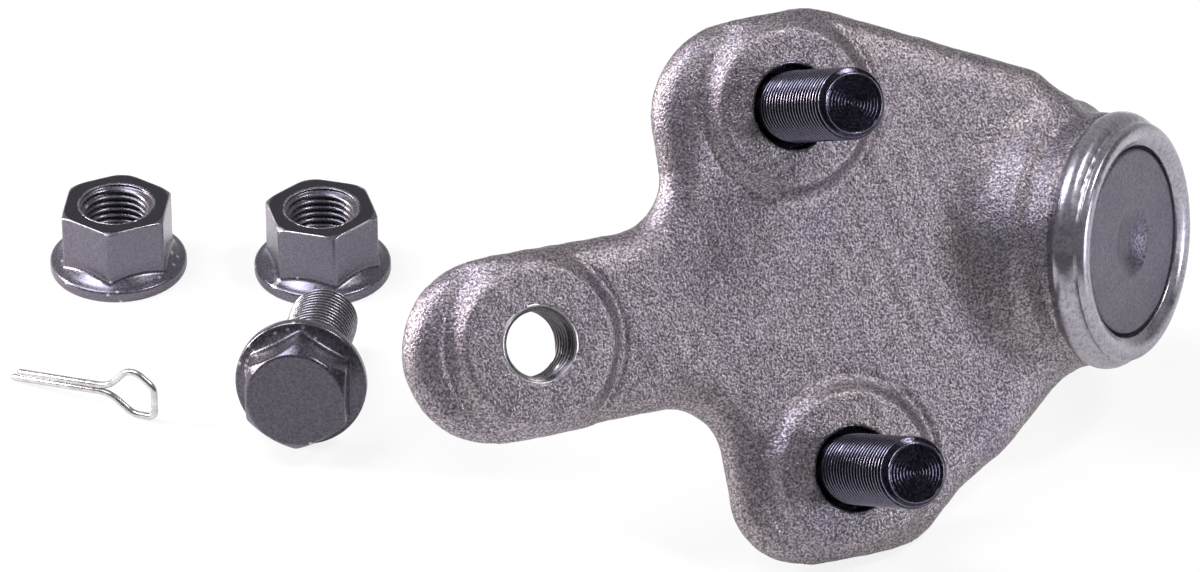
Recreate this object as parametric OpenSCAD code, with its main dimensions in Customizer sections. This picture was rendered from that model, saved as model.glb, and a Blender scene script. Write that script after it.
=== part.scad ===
// Lower suspension ball joint with its loose fasteners.
// A forged plate carries two pressed-in studs, a threaded hole and a tilted socket.
// The socket holds a ball stud in a plastic seat, shut by a rolled-in cover plate.
// Origin: middle of the threaded hole. +Z is up, +X runs along the laid-out kit.

/* [Mounting plate] */
// Threaded hole to the line through the two studs
stud_x = 50.8; // [46:0.2:56]
// Distance between the two studs
stud_spacing = 60.8; // [56:0.2:64]
// Half the width of the plate's arm
arm_r = 15.2; // [14.4:0.1:16.4]
// Threaded hole to the far end of the arm
arm_end = 21.7; // [20:0.1:24]
// Thickness from the pads' faces to the plate's back
plate_t = 9; // [8:0.1:11]
// Height of the pads above the web
pad_h = 2.2; // [1.2:0.1:2.8]
// Radius of each pad's flat face
pad_r = 12.4; // [11:0.1:13]
// Rounding at the rim of each pad
pad_round_r = 1.2; // [0.5:0.1:2]
// Hollow between each pad and the web
pad_hollow_r = 4; // [2:0.5:5]
// Rounding of the forging's edges
edge_r = 3; // [1:0.1:3.2]
// Width of the rounding where a pad meets the plate's edge
pad_edge_w = 1.9; // [1:0.1:2.2]
// How far the lobes reach outward from their studs
lobe_reach = 15.6; // [14:0.1:18]
// How far the lobes reach from their studs towards the arm
lobe_inner = 22; // [19:0.1:24]

/* [Fastener sizes] */
// Thread diameter of the studs, bolt, nuts and threaded hole
thread_d = 12; // [10:0.5:14]
// Core diameter of the tapped holes
tap_d = 10.8; // [8.8:0.1:12.6]
// Width of the chamfer at each tapped hole
tap_chamfer = 0.8; // [0.3:0.1:1]
// Height of the studs above the pads
stud_reach = 26; // [20:0.5:32]
// Clearance bore round each stud at its pad
stud_bore_d = 14; // [13:0.1:16]
// Depth of that clearance bore
stud_bore_depth = 4.5; // [2:0.1:5]
// Serrated shank that is pressed into the plate
shank_d = 13; // [12.2:0.1:13.4]
// Diameter of each stud's head on the plate's back
stud_head_d = 19; // [17:0.5:22]
// Thickness of each stud's head
stud_head_t = 3.6; // [2.5:0.1:5]
// Length of the chamfer on a stud's tip
tip_chamfer = 1.3; // [0.8:0.1:1.8]

/* [Ball socket] */
// Threaded hole to the ball's centre, along the plate
ball_x = 97.1; // [95:0.1:100]
// Ball's centre to the side of the plate's middle line
ball_y = 0.8; // [-1:0.1:2]
// Ball's centre below the pads' faces
ball_drop = 14.8; // [13.5:0.1:16]
// Tilt of the socket away from the studs' direction
socket_tilt = 39.3; // [36:0.1:42]
// Turn of that tilt to the side
socket_turn = -17.3; // [-19:0.1:-14]
// Diameter of the ball
ball_d = 28; // [26:0.1:28.6]
// Wall of the plastic seat round the ball's equator
seat_wall = 2.5; // [2:0.1:2.8]
// Steel wall round the seat
socket_wall = 4.5; // [3.5:0.1:5]
// How far the collar at the socket's waist stands out of the wall
collar_out = 2; // [1:0.1:3]
// Height of the collar's crest above the ball's centre
collar_s = 5.8; // [4:0.1:7]
// Height of the bead's crest above the ball's centre
bead_s = 14.2; // [13.8:0.1:14.4]
// How far the bead stands out of the wall
bead_out = 0.6; // [0.3:0.1:1]
// Cover plate's outer face above the ball's centre
cover_s = 17.2; // [17.2:0.1:17.6]
// Thickness of the cover plate
cover_t = 1.6; // [1.3:0.1:1.6]
// Radius of the cover plate that the lip leaves in view
cover_view_r = 16.2; // [15.6:0.1:16.6]
// Radius of the dimple in the cover plate
dimple_r = 5.5; // [4:0.1:6]
// Depth of the dimple
dimple_depth = 1.5; // [0.8:0.1:1.5]
// Depth of the socket's mouth below the ball's centre
mouth_s = 14; // [13:0.1:15]

/* [Ball stud and boot] */
// Diameter of the stud's neck under the ball
neck_d = 14.2; // [13:0.1:14.6]
// Ball's centre to the large end of the taper
taper_s = 27; // [26.5:0.1:30]
// Large diameter of the taper
taper_d = 18.4; // [17:0.1:19]
// Length of the taper
taper_l = 21; // [16:0.5:26]
// Length that the taper needs to lose one unit of diameter
taper_ratio = 8; // [7:0.5:12]
// Thread diameter of the ball stud
stud_thread_d = 14; // [12:0.5:14.5]
// Length of the ball stud's thread
stud_thread_l = 17; // [15:0.5:22]
// Diameter of the cotter hole
cotter_hole_d = 3.4; // [2.8:0.1:3.8]
// Wall thickness of the rubber boot
boot_t = 1.6; // [1:0.1:2]
// Largest radius of the rubber boot
boot_r = 22.6; // [21.8:0.1:24]

/* [Castle nut] */
// Size across the castle nut's flats
castle_af = 22; // [20:0.5:24]
// Height of the castle nut
castle_h = 14.5; // [13:0.5:16]
// Depth of the nut's slots
slot_depth = 5; // [4:0.5:6]
// Width of the nut's slots
slot_w = 3.8; // [3.8:0.1:4.4]

/* [Loose flange nuts and bolt] */
// Size across the flange nuts' flats
nut_af = 18; // [16:0.5:19]
// Diameter of the flange nuts' flanges
nut_flange_d = 24; // [22:0.5:26]
// Height of the flange nuts
nut_h = 13; // [11:0.5:15]
// Thickness of a flange at its rim
flange_rim = 2.1; // [1.2:0.1:2.6]
// Size across the bolt head's flats
bolt_af = 17; // [15:0.5:18]
// Diameter of the bolt's flange
bolt_flange_d = 22.4; // [20.5:0.1:24]
// Height of the bolt's head with its flange
bolt_head_h = 9.4; // [8:0.1:12]
// Length of the bolt under its flange
bolt_l = 28; // [20:0.5:32]

/* [Loose cotter pin] */
// Diameter of the closed cotter pin
pin_d = 2.4; // [2.2:0.1:3.2]
// Length of the cotter pin's legs from the eye to the tips
pin_l = 20; // [16:0.5:30]
// Outside length of the cotter pin's eye
eye_l = 10; // [8:0.1:12]
// Outside width of the cotter pin's eye
eye_w = 9.6; // [7.5:0.1:11]

/* [Hidden] */
$fn = 96;

// How the forged body lies: its tilt about X, then Y, then Z
body_turn = [59.4, 2, 22.6];
// Fits
press = 0.02;
run_gap = 0.05;
thread_gap = 0.02;
fit_gap = 0.1;
thread_crest = 0.05;
overlap = 0.4;

// Corner chamfers of the hexagons: radius they start at, as a share of the flats, and angle
castle_chamfer = [0.96, 28];
nut_chamfer = [1.05, 30];
bolt_chamfer = [0.96, 45];

// Steepness of the pads' sides, and the largest angle of one facet of the outline
pad_slope = 30;
arc_step = 12;

// Derived radii
thread_r = thread_d / 2 - thread_crest;
tap_r = tap_d / 2;
ball_r = ball_d / 2;
neck_r = neck_d / 2;
seat_r = ball_r + seat_wall;
cavity_r = seat_r + fit_gap;
socket_r = cavity_r + socket_wall;
bead_r = socket_r + bead_out;
collar_r = socket_r + collar_out;
pocket_r = cavity_r + 0.8;
shoulder_s = cover_s - cover_t;
cup_top_s = shoulder_s - 1.6;
ball_flat_s = cup_top_s - 0.8;
stud_thread_r = stud_thread_d / 2 - thread_crest;
taper_end_s = taper_s + taper_l;
taper_end_r = (taper_d - taper_l / taper_ratio) / 2;
thread_s = taper_end_s + 2;
stud_end_s = thread_s + stud_thread_l;
web_z = -pad_h;
lobe_y = stud_spacing / 2;

// The throat narrows below the seat, and the mouth opens again for the stud's swing
seat_end_s = 6;
throat_s = 8;
throat_r = ball_r - 1.1;
mouth_r = throat_r + 3;
cone_top_s = 3.4;
rim_r = mouth_r + 2.8;
groove_r = mouth_r + 1.5;
groove_s = [9.5, 12.5];
lip_round_r = 1.3;

// The boot's lip on the stud, and the wire of the rings that hold the boot
lip_r = taper_d / 2 + 0.15;
lip_t = 2;
ring_wire = 0.5;

// Directions and places in the plate's own frame, where the pads' faces are at z = 0
function matrix_x(a) = [[1, 0, 0], [0, cos(a), -sin(a)], [0, sin(a), cos(a)]];
function matrix_y(a) = [[cos(a), 0, sin(a)], [0, 1, 0], [-sin(a), 0, cos(a)]];
function matrix_z(a) = [[cos(a), -sin(a), 0], [sin(a), cos(a), 0], [0, 0, 1]];
body_matrix = matrix_z(body_turn[2]) * matrix_y(body_turn[1]) * matrix_x(body_turn[0]);
hole_middle = [0, 0, -plate_t / 2];

// Corners of the plate, anticlockwise: x, y and the radius of the corner
edge_y = lobe_y + lobe_reach;
inner_x = stud_x - lobe_inner;
corners = [
    [-arm_end, -arm_r, arm_r - 0.2],
    [inner_x + 1.4, -arm_r, 9.5],
    [inner_x + 1.5, -edge_y + 1, 12.5],
    [stud_x + 11.7, -edge_y + 1, 9],
    [stud_x + 20.2, -edge_y + 8, 10],
    [stud_x + 29.7, -edge_y + 13, 14],
    [ball_x - 2.5, ball_y - 22.3, 3.5],
    [ball_x + 3, ball_y - 14, 3.5],
    [ball_x + 4, ball_y + 22, 4],
    [ball_x - 0.5, ball_y + 27.9, 9],
    [stud_x + 8.7, edge_y, 22],
    [inner_x - 1, edge_y, 16],
    [inner_x - 1.2, arm_r, 9],
    [-arm_end, arm_r, arm_r - 0.2]];

// The kit lies on a surface that the plate's lower lobe touches
up = body_matrix[2];
edge_ring_points = [for (p = rounding(edge_r, edge_r), q = outline(p[0])) [q[0], q[1], -plate_t - p[1]]];
floor_z = min([for (p = edge_ring_points) up * (p - hole_middle)]);

// Unit vector, left normal and signed turn between two directions
function unit(v) = v / norm(v);
function left(v) = [-v[1], v[0]];
function turned(v, a) = [v[0] * cos(a) - v[1] * sin(a), v[0] * sin(a) + v[1] * cos(a)];
function bend(u, v) = atan2(u[0] * v[1] - u[1] * v[0], u * v);
function before(p, i) = unit([p[i][0], p[i][1]] - [for (k = [0, 1]) p[(i + len(p) - 1) % len(p)][k]]);

// A corner moved inward by d, with its radius kept concentric
function inset_corner(p, i, d) =
    let (u = before(p, i), v = before(p, (i + 1) % len(p)), s = sign(bend(u, v)))
    let (q = [p[i][0], p[i][1]] + d * (left(u) + left(v)) / (1 + left(u) * left(v)))
    [q[0], q[1], max(0.3, p[i][2] - s * d)];

// Points along a rounded corner
function corner_arc(p, i) =
    let (u = before(p, i), v = before(p, (i + 1) % len(p)), a = bend(u, v), s = sign(a), r = p[i][2])
    let (start = [p[i][0], p[i][1]] - u * r * tan(abs(a) / 2), centre = start + left(u) * s * r)
    let (steps = ceil(abs(a) / arc_step))
    [for (k = [0:steps]) centre + turned(start - centre, a * k / steps)];

// The plate's outline, moved inward by d
function outline(d) =
    let (p = [for (i = [0:len(corners) - 1]) inset_corner(corners, i, d)])
    [for (i = [0:len(p) - 1]) each corner_arc(p, i)];

// Quarter of an ellipse from a face down to a side: points of inset and height
function rounding(wide, deep, steps = 4) =
    [for (k = [0:steps]) [wide * (1 - sin(90 * k / steps)), deep * (cos(90 * k / steps) - 1)]];

// Ring round the outline that cuts the rounding of an edge whose face is at z = 0
module edge_ring(wide, deep) {
    r = rounding(wide, deep);
    m = len(r) - 1;
    past = 0.3;
    start = r[0] + past * (r[0] - r[1]);
    end = r[m] + past * (r[m] - r[m - 1]);
    section = concat([[-1, end[1]], [-1, 1], [start[0], 1], start], [for (k = [1:m - 1]) r[k]], [end]);
    rings = [for (p = section) [for (q = outline(p[0])) [q[0], q[1], p[1]]]];
    rows = len(rings);
    n = len(rings[0]);
    walls = [for (j = [0:rows - 1], i = [0:n - 1]) let (above = (j + 1) % rows, next = (i + 1) % n)
        [j * n + i, above * n + i, above * n + next, j * n + next]];
    polyhedron(points = [for (ring = rings) each ring], faces = walls);
}

// The plate up to the web, with rounded edges
module web_plate() {
    difference() {
        translate([0, 0, -plate_t]) linear_extrude(plate_t - pad_h) polygon(outline(0));
        translate([0, 0, web_z]) edge_ring(edge_r, edge_r);
        translate([0, 0, -plate_t]) mirror([0, 0, 1]) edge_ring(edge_r, edge_r);
    }
}

// The three raised pads, trimmed by the plate's outline
module pads() {
    base_z = -plate_t / 2;
    difference() {
        intersection() {
            translate([0, 0, base_z]) linear_extrude(1 - base_z) polygon(outline(0));
            union() {
                pad(0, 0);
                pad(stud_x, -lobe_y);
                pad(stud_x, lobe_y);
            }
        }
        edge_ring(pad_edge_w, -base_z - 0.3);
    }
}

// Children made in the plate's frame are laid down with the body
module laid() {
    rotate(body_turn) translate(-hole_middle) children();
}

// Children made about the socket's axis, with the ball's centre at their origin
module in_socket() {
    laid() socket_frame() children();
}

module socket_frame() {
    translate([ball_x, ball_y, -ball_drop])
        rotate([0, socket_tilt, socket_turn]) children();
}

// A solid of revolution from points of radius and height
module turned_solid(points) {
    rotate_extrude() polygon(points);
}

// Points along an arc of a profile
function arc(centre, r, from, to, steps = 6) =
    [for (k = [0:steps]) let (a = from + (to - from) * k / steps) centre + r * [cos(a), sin(a)]];

// A raised pad: a flat face, a rounded rim, a slope and a hollow down to the web
module pad(x, y) {
    drop = pad_h - (1 - cos(pad_slope)) * (pad_round_r + pad_hollow_r);
    wide = pad_r + sin(pad_slope) * (pad_round_r + pad_hollow_r) + drop / tan(pad_slope);
    base_z = -plate_t / 2 + 0.2;
    translate([x, y, 0]) turned_solid(concat(
        [[0, base_z], [wide, base_z]],
        arc([wide, web_z + pad_hollow_r], pad_hollow_r, 270, 270 - pad_slope, 4),
        arc([pad_r, -pad_round_r], pad_round_r, 90 - pad_slope, 90, 3),
        [[0, 0]]));
}

// The steel wall of the socket, with its bead, rolled lip and mouth
module socket_wall_solid() {
    turned_solid(concat(
        [[0, -mouth_s], [rim_r, -mouth_s], [rim_r, -groove_s[1]], [groove_r, -groove_s[1]],
        [groove_r, -groove_s[0]], [rim_r + 0.4, -groove_s[0]], [rim_r + 0.4, -throat_s - 0.4],
        [socket_r, -throat_s + 1.2], [socket_r, bead_s - 1.6]],
        arc([bead_r - 2, bead_s], 2, -40, 65),
        [[bead_r - 1.7, bead_s + 2.3]],
        arc([bead_r - 2.9, cover_s + 0.2], lip_round_r, 0, 120),
        [[cover_view_r, cover_s + 0.4], [cover_view_r, cover_s - overlap], [0, cover_s - overlap]]));
}

module socket_cavity() {
    turned_solid([[0, -mouth_s - 1], [mouth_r + 0.6, -mouth_s - 1], [mouth_r, -mouth_s],
        [throat_r, -throat_s], [cavity_r, -cone_top_s], [cavity_r, shoulder_s], [pocket_r, shoulder_s],
        [pocket_r, cover_s], [cover_view_r, cover_s], [cover_view_r, cover_s + 4], [0, cover_s + 4]]);
}

// Collar round the socket's waist: the crest where the plate's flare ends
module collar() {
    turned_solid(concat(
        [[0, -throat_s + 1], [collar_r - 1.1, -throat_s + 1], [collar_r, -throat_s + 2.1]],
        arc([collar_r - 1.1, collar_s - 1.1], 1.1, 0, 60, 3),
        [[socket_r + 0.4, collar_s + 0.8], [socket_r - 0.5, collar_s + 1.6], [0, collar_s + 1.6]]));
}

// One step of the flare: from the web, at a reach from the collar, up the collar's side
module flare(reach, rise, inset) {
    long = collar_r / cos(socket_tilt);
    axis = [sin(socket_tilt) * cos(socket_turn), sin(socket_tilt) * sin(socket_turn), cos(socket_tilt)];
    middle = [ball_x, ball_y] + (ball_drop - pad_h) / axis[2] * [axis[0], axis[1]];
    foot_z = -plate_t + 1 + inset;
    hull() {
        intersection() {
            translate([middle[0], middle[1], foot_z]) rotate([0, 0, socket_turn])
                scale([(long + reach) / collar_r, (collar_r + reach) / collar_r, 1])
                    cylinder(r = collar_r, h = web_z - inset / 8 - foot_z, $fn = 48);
            translate([ball_x - 40, ball_y - 50, -plate_t]) cube([40 + inset, 100, plate_t]);
            translate([0, 0, -plate_t]) linear_extrude(plate_t) polygon(outline(inset));
        }
        socket_frame() translate([0, 0, -throat_s + 2 + inset])
            cylinder(r = collar_r - inset / 10, h = throat_s - 2 - inset + rise, $fn = 48);
    }
}

// Room for the boot and its ring under the flare
module boot_room() {
    top_s = -groove_s[0] + 0.6;
    wide = groove_r + boot_t + 2.4;
    clear_r = boot_r + 1.6;
    turned_solid([[0, top_s], [wide, top_s], [clear_r, -mouth_s], [clear_r, -taper_s], [0, -taper_s]]);
}

module tapped_hole(depth) {
    wide = tap_r + tap_chamfer;
    translate([0, 0, -depth - 1]) cylinder(r = tap_r, h = depth + 2);
    translate([0, 0, -tap_chamfer]) cylinder(r1 = tap_r, r2 = wide, h = tap_chamfer);
    cylinder(r = wide, h = 1);
    translate([0, 0, -depth]) cylinder(r1 = wide, r2 = tap_r, h = tap_chamfer);
    translate([0, 0, -depth - 1]) cylinder(r = wide, h = 1);
}

module stud_holes() {
    for (y = [-lobe_y, lobe_y]) {
        translate([stud_x, y, -plate_t - 1]) cylinder(r = shank_d / 2 - press, h = plate_t + 1);
        translate([stud_x, y, -stud_bore_depth]) cylinder(r = stud_bore_d / 2, h = stud_bore_depth + 1);
    }
}

module housing() {
    color([0.47, 0.45, 0.46]) laid() difference() {
        union() {
            web_plate();
            pads();
            socket_frame() collar();
            difference() {
                union() {
                    flare(5, 0.5, 1.2);
                    flare(2.2, 2.8, 1.7);
                }
                socket_frame() boot_room();
            }
            socket_frame() socket_wall_solid();
        }
        tapped_hole(plate_t);
        stud_holes();
        socket_frame() socket_cavity();
    }
}

// A pressed-in stud: round head behind the plate, serrated shank, thread and chamfered tip
module mounting_stud(y) {
    tip_r = thread_r - tip_chamfer * 0.95;
    root_r = thread_r - 0.4;
    head_r = stud_head_d / 2;
    head_z = -plate_t - stud_head_t;
    shank_r = shank_d / 2;
    color([0.11, 0.11, 0.13]) laid() translate([stud_x, y, 0]) turned_solid([
        [0, head_z], [head_r - 1, head_z], [head_r, head_z + 1], [head_r, -plate_t], [shank_r, -plate_t],
        [shank_r, -stud_bore_depth - 0.6], [root_r, -stud_bore_depth], [root_r, 0.2], [thread_r, 0.6],
        [thread_r, stud_reach - tip_chamfer], [tip_r, stud_reach], [0, stud_reach]]);
}

module mounting_stud_upper() {
    mounting_stud(lobe_y);
}

module mounting_stud_lower() {
    mounting_stud(-lobe_y);
}

// Plastic cup under the ball
module ball_seat() {
    cone = (cavity_r - throat_r) / (throat_s - cone_top_s);
    end_r = seat_r - cone * (seat_end_s - cone_top_s);
    color([0.86, 0.84, 0.76]) in_socket() difference() {
        turned_solid([[0, -seat_end_s], [end_r, -seat_end_s], [seat_r, -cone_top_s], [seat_r, 4], [0, 4]]);
        sphere(r = ball_r + run_gap);
    }
}

// Upper cup that the spring presses on the ball
module pressure_cup() {
    color([0.8, 0.78, 0.7]) in_socket() difference() {
        translate([0, 0, 4.3]) cylinder(r = seat_r, h = cup_top_s - 4.3);
        sphere(r = ball_r + run_gap);
        translate([0, 0, 4]) cylinder(r = dimple_r + 1.2, h = cup_top_s);
    }
}

// Dished spring between the cup and the cover plate
module disc_spring() {
    inner_r = dimple_r + 2.5;
    outer_r = seat_r - 1.2;
    color([0.35, 0.35, 0.38]) in_socket() turned_solid([[inner_r, shoulder_s - 1], [inner_r, shoulder_s],
        [outer_r, cup_top_s + 1], [outer_r, cup_top_s]]);
}

// Round cover plate with a pressed dimple
module cover_plate() {
    edge = pocket_r - run_gap;
    under_s = shoulder_s - dimple_depth;
    color([0.3, 0.3, 0.33]) in_socket() turned_solid([[0, under_s], [dimple_r - 1.5, under_s],
        [dimple_r, shoulder_s], [edge, shoulder_s], [edge, cover_s], [dimple_r, cover_s],
        [dimple_r * 0.72, cover_s - dimple_depth * 0.45], [dimple_r * 0.4, cover_s - dimple_depth * 0.88],
        [0, cover_s - dimple_depth]]);
}

// Spring ring that holds the boot in the socket's groove
module boot_ring_housing() {
    ring_r = groove_r + boot_t + 0.6;
    color([0.62, 0.62, 0.64]) in_socket() rotate_extrude()
        translate([ring_r, -groove_s[0] - 1]) circle(r = ring_wire, $fn = 24);
}

// Rubber boot from the socket's groove to the top of the taper
module dust_boot() {
    gap = 0.2;
    foot_r = groove_r + run_gap;
    foot_s = -groove_s[0] - 0.1;
    skirt_r = rim_r + gap;
    wide_s = -(mouth_s + taper_s) / 2 + 2.5;
    lip_s = -taper_s + 0.2;
    outside = [[foot_r, foot_s], [foot_r + boot_t, foot_s], [foot_r + boot_t, -groove_s[1] + 1.1],
        [skirt_r + boot_t, -groove_s[1] + gap], [skirt_r + boot_t, -mouth_s], [boot_r, wide_s + 2],
        [boot_r, wide_s], [boot_r - 2, wide_s - 2], [lip_r + 4.5, lip_s + 2.4]];
    lip = [[lip_r + lip_t, lip_s + 2], [lip_r + lip_t, lip_s + 0.4], [lip_r + 2.6, lip_s], [lip_r, lip_s],
        [lip_r, lip_s + 3]];
    inner_r = boot_r - boot_t;
    inside = [[lip_r + 3.4, lip_s + 3.8], [inner_r - 2, wide_s - 0.8], [inner_r, wide_s + 0.4],
        [inner_r, wide_s + 1.2], [skirt_r, -mouth_s], [skirt_r, -groove_s[1] + gap],
        [foot_r, -groove_s[1] + gap]];
    color([0.09, 0.09, 0.09]) in_socket() turned_solid(concat(outside, lip, inside));
}

// Spring ring that holds the boot on the stud
module boot_ring_stud() {
    color([0.62, 0.62, 0.64]) in_socket() rotate_extrude()
        translate([lip_r + lip_t + 0.6, -taper_s + 1.4]) circle(r = ring_wire, $fn = 24);
}

// Ball, neck, collar, taper and thread in one forging
module ball_stud() {
    shoulder_r = taper_d / 2 + 0.1;
    relief_r = stud_thread_r - 1.1;
    root_r = neck_r + 0.5;
    color([0.4, 0.4, 0.42]) in_socket() difference() {
        union() {
            difference() {
                sphere(r = ball_r);
                translate([-ball_r, -ball_r, ball_flat_s]) cube(2 * ball_r);
            }
            turned_solid([[0, 0], [neck_r - 0.6, 0], [root_r, -sqrt(pow(ball_r, 2) - pow(root_r, 2))],
                [neck_r, -ball_r + 0.8], [neck_r, -taper_s + 6.6], [shoulder_r, -taper_s + 3.8],
                [shoulder_r, -taper_s], [taper_d / 2, -taper_s], [taper_end_r, -taper_end_s],
                [relief_r, -taper_end_s], [relief_r, -thread_s + 0.8], [stud_thread_r, -thread_s],
                [stud_thread_r, -stud_end_s + 1.2], [relief_r, -stud_end_s], [0, -stud_end_s]]);
        }
        cotter_hole();
    }
}

// Cross hole level with the castle nut's slots
module cotter_hole() {
    hole_s = thread_s + castle_h - slot_depth / 2;
    translate([0, 0, -hole_s]) rotate([90, 0, 0])
        cylinder(d = cotter_hole_d, h = 3 * stud_thread_r, center = true);
}

// Slotted nut: hexagon with chamfered corners, a round crown and six slots
module castle_nut() {
    crown_r = castle_af / 2 - 1.2;
    slot_floor = castle_h - slot_depth;
    hex_h = slot_floor + 0.8;
    color([0.5, 0.5, 0.52]) in_socket() translate([0, 0, -thread_s]) rotate([180, 0, 0]) difference() {
        union() {
            intersection() {
                cylinder(d = castle_af / cos(30), h = hex_h, $fn = 6);
                chamfer_envelope(castle_af, hex_h, castle_chamfer);
            }
            translate([0, 0, 1]) cylinder(r = crown_r, h = castle_h - 1);
        }
        translate([0, 0, -1]) cylinder(r = stud_thread_r + thread_gap, h = castle_h + 2);
        for (k = [0:2]) {
            rotate([0, 0, 60 * k + 90]) translate([-castle_af, -slot_w / 2, slot_floor])
                cube([2 * castle_af, slot_w, slot_depth + 1]);
        }
    }
}

// Cone-ended envelope that takes the corners off a hexagon's ends
module chamfer_envelope(af, h, chamfer, low = true) {
    corner_r = af / cos(30) / 2;
    face_r = af / 2 * chamfer[0];
    rise = (corner_r - face_r) * tan(chamfer[1]);
    turned_solid([[0, 0], [low ? face_r : corner_r, 0], [corner_r, low ? rise : 0], [corner_r, h - rise],
        [face_r, h], [0, h]]);
}

// Hexagon on a sloping flange, resting on its flange's face at z = 0
module flanged_hexagon(af, flange_d, h, chamfer) {
    flange_r = flange_d / 2;
    round_r = 0.5;
    cone_h = flange_rim + 2;
    turned_solid([[0, 0], [flange_r - round_r, 0], [flange_r, round_r], [flange_r, flange_rim - round_r],
        [flange_r - round_r, flange_rim], [af / 2 - 0.6, cone_h], [0, cone_h]]);
    intersection() {
        translate([0, 0, flange_rim / 2]) cylinder(d = af / cos(30), h = h - flange_rim / 2, $fn = 6);
        chamfer_envelope(af, h, chamfer, false);
    }
}

module flange_nut() {
    difference() {
        flanged_hexagon(nut_af, nut_flange_d, nut_h, nut_chamfer);
        translate([0, 0, nut_h]) tapped_hole(nut_h);
    }
}

// Places of the loose fasteners on the surface: x, y and turn
nut_left_at = [-73.5, 88.5, -5.5];
nut_right_at = [-37.5, 87.2, 15];
bolt_at = [-39.2, 36, 6];
pin_at = [-72.6, 43.3, -27.7];

module flange_nut_left() {
    color([0.13, 0.13, 0.16]) translate([nut_left_at[0], nut_left_at[1], floor_z])
        rotate([0, 0, nut_left_at[2] + 30]) flange_nut();
}

module flange_nut_right() {
    color([0.13, 0.13, 0.16]) translate([nut_right_at[0], nut_right_at[1], floor_z])
        rotate([0, 0, nut_right_at[2] + 30]) flange_nut();
}

// Bolt lying on its flange's rim and its tip, head towards the viewer
module flange_bolt() {
    rim = bolt_flange_d / 2;
    length = bolt_l - tip_chamfer;
    droop = atan((rim - thread_r) / length);
    color([0.12, 0.12, 0.14]) translate([bolt_at[0], bolt_at[1], floor_z + rim * cos(droop)])
        rotate([0, 0, -bolt_at[2]]) rotate([-90 - droop, 0, 0]) {
            rotate([180, 0, 30]) flanged_hexagon(bolt_af, bolt_flange_d, bolt_head_h, bolt_chamfer);
            turned_solid([[0, -1], [thread_r, -1], [thread_r, length], [thread_r - tip_chamfer, bolt_l],
                [0, bolt_l]]);
        }
}

// Cotter pin: two legs that run into an eye, standing on the eye's rim and the tips
pin_wire = pin_d / 4;
pin_pitch = asin((eye_w / 2 - 2 * pin_wire) / (pin_l + eye_l / 2));
pin_lift = pin_l * sin(pin_pitch) + 2 * pin_wire * cos(pin_pitch);

// Corners of the wire's middle line, round a blunt eye: place along, place across, radius
pin_bend = eye_l / 4;
pin_reach = eye_l - pin_wire;
pin_half = eye_w / 2 - pin_wire;
pin_corners = [
    [-pin_l, -pin_wire, 0],
    [0, -pin_wire, pin_bend],
    [0.44 * pin_reach, -pin_half, pin_bend],
    [0.9 * pin_reach, -pin_half, pin_bend / 2],
    [pin_reach, 0.4 * pin_half, pin_bend / 2],
    [0.68 * pin_reach, pin_half, pin_bend],
    [0.44 * pin_reach, pin_half, pin_bend],
    [0, pin_wire, pin_bend],
    [1.5 - pin_l, pin_wire, 0]];

module cotter_pin() {
    last = len(pin_corners) - 1;
    bends = [for (i = [1:last - 1]) each corner_arc(pin_corners, i)];
    tips = [for (i = [0, last]) [pin_corners[i][0], pin_corners[i][1]]];
    color([0.78, 0.78, 0.76]) translate([pin_at[0], pin_at[1], floor_z + pin_lift])
        rotate([0, -pin_pitch, pin_at[2]]) rotate([90, 0, 0])
            swept_wire(concat([tips[0]], bends, [tips[1]]), pin_wire);
}

// Round wire along a flat path, as one closed skin with mitred bends
module swept_wire(path, r, sides = 8) {
    n = len(path);
    function heading(i) = unit(path[min(i + 1, n - 1)] - path[max(i - 1, 0)]);
    rings = [for (i = [0:n - 1]) let (across = left(heading(i)))
        [for (k = [0:sides - 1]) let (a = 360 * k / sides + 22.5)
            [path[i][0] + across[0] * r * cos(a), path[i][1] + across[1] * r * cos(a), r * sin(a)]]];
    walls = [for (j = [0:n - 2], i = [0:sides - 1]) let (next = (i + 1) % sides)
        [j * sides + i, (j + 1) * sides + i, (j + 1) * sides + next, j * sides + next]];
    start = [for (i = [0:sides - 1]) i];
    finish = [for (i = [sides - 1:-1:0]) (n - 1) * sides + i];
    polyhedron(points = [for (ring = rings) each ring], faces = concat(walls, [start, finish]));
}

housing();
mounting_stud_upper();
mounting_stud_lower();
ball_seat();
pressure_cup();
disc_spring();
cover_plate();
boot_ring_housing();
dust_boot();
boot_ring_stud();
ball_stud();
castle_nut();
flange_nut_left();
flange_nut_right();
flange_bolt();
cotter_pin();
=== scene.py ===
"""Looks of a lower suspension ball joint that lies beside its loose fasteners."""

import math

import bmesh
import bpy
import numpy as np
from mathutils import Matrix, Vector


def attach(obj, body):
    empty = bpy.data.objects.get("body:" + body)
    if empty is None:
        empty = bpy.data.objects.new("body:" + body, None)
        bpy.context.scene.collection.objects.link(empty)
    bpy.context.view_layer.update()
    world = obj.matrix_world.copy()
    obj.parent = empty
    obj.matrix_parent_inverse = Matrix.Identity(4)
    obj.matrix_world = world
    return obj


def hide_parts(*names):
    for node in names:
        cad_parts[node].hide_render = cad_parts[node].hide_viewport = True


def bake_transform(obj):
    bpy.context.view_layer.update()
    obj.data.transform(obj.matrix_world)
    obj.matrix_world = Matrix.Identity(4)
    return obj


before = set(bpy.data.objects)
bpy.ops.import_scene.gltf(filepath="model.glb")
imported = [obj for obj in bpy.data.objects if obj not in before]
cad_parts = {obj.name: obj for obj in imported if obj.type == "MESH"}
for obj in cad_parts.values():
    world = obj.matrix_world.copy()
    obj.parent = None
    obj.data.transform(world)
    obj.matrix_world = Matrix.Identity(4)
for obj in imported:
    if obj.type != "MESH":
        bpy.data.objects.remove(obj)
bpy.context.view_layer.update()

# Sizes in millimetres, as in the CAD source
MM = 0.001
BODY_TURN = (59.4, 2.0, 22.6)
PLATE_T = 9.0
PAD_H = 2.2
STUD_X = 50.8
LOBE_Y = 30.4
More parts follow.
